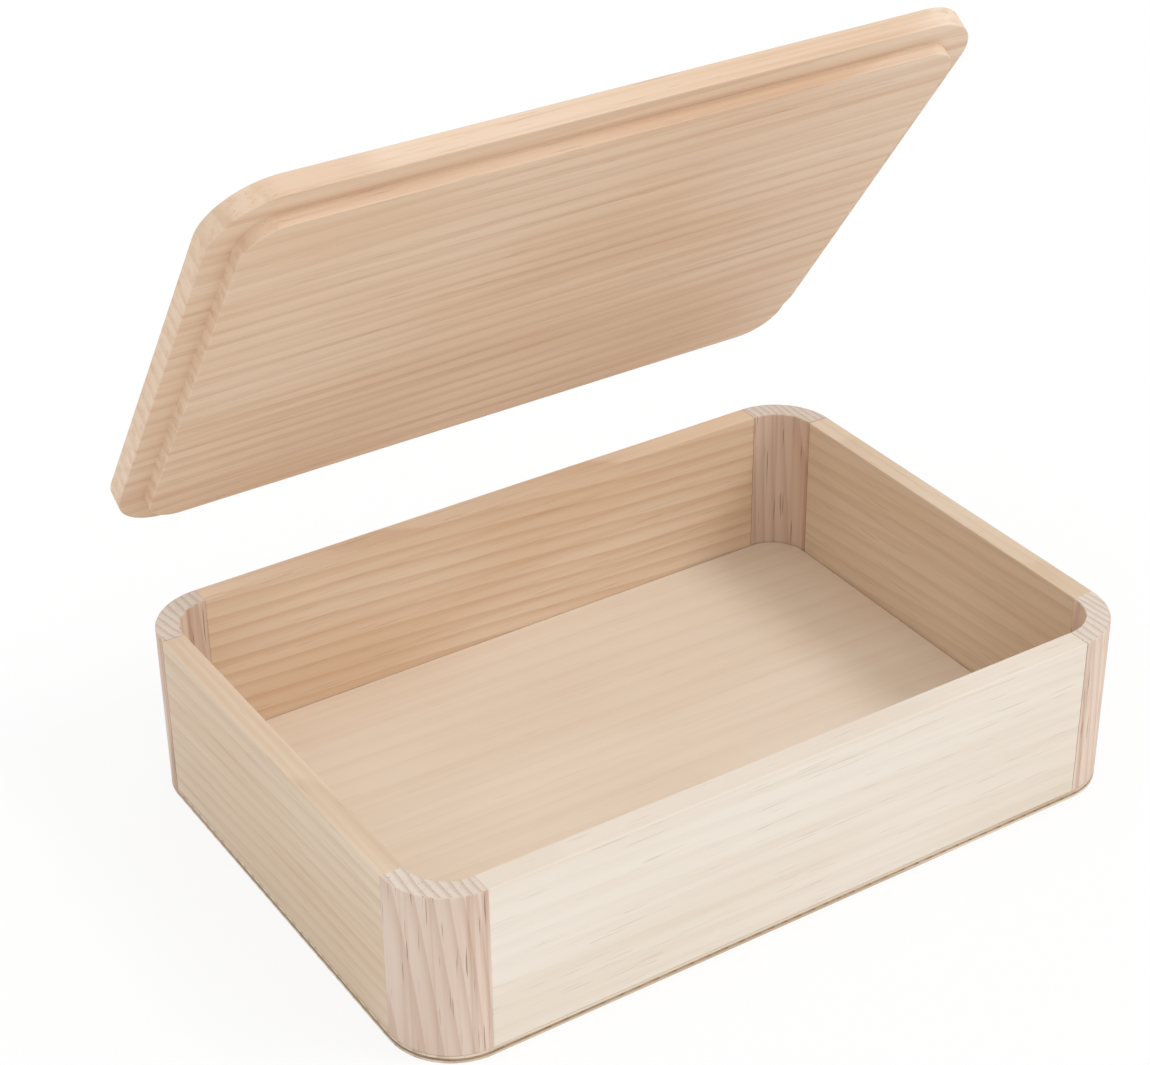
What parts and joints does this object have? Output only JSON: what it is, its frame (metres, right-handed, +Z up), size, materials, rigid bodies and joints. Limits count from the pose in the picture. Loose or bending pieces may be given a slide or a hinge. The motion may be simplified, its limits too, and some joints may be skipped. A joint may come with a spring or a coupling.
{
  "type": "wooden box",
  "caption": "Shallow open wooden box with rounded corner blocks, butt-jointed board walls, a plywood base and a stepped lift-off lid.",
  "frame": {"origin": "centre of the box's underside", "axes": "+X along the long side to the right, +Y towards the back, +Z up"},
  "size_m": [0.3, 0.2304, 0.2715],
  "materials": {
    "base_face_ply": "raw plywood face",
    "base_core_ply": "raw plywood core, grain across",
    "floor_wood": "raw, planed smooth",
    "long_board_wood": "raw, planed smooth",
    "short_board_wood": "raw, planed smooth",
    "corner_wood": "raw, sanded round, end grain on the rim",
    "lid_wood": "raw, planed smooth"
  },
  "bodies": {
    "box": {"base_lower_ply": "base_face_ply", "base_core_ply": "base_core_ply", "base_upper_ply": "base_face_ply", "floor_board": "floor_wood", "front_board": "long_board_wood", "back_board": "long_board_wood", "left_board": "short_board_wood", "right_board": "short_board_wood", "front_left_corner_block": "corner_wood", "front_right_corner_block": "corner_wood", "back_right_corner_block": "corner_wood", "back_left_corner_block": "corner_wood"},
    "lid": {"lid": "lid_wood"}
  },
  "joints": [
    {"name": "lid_lift", "type": "hinge", "parent": "box", "child": "lid", "pos_m": [0, 0.137, 0.0685], "axis": [1, 0, 0], "range_deg": [0, 55]}
  ]
}
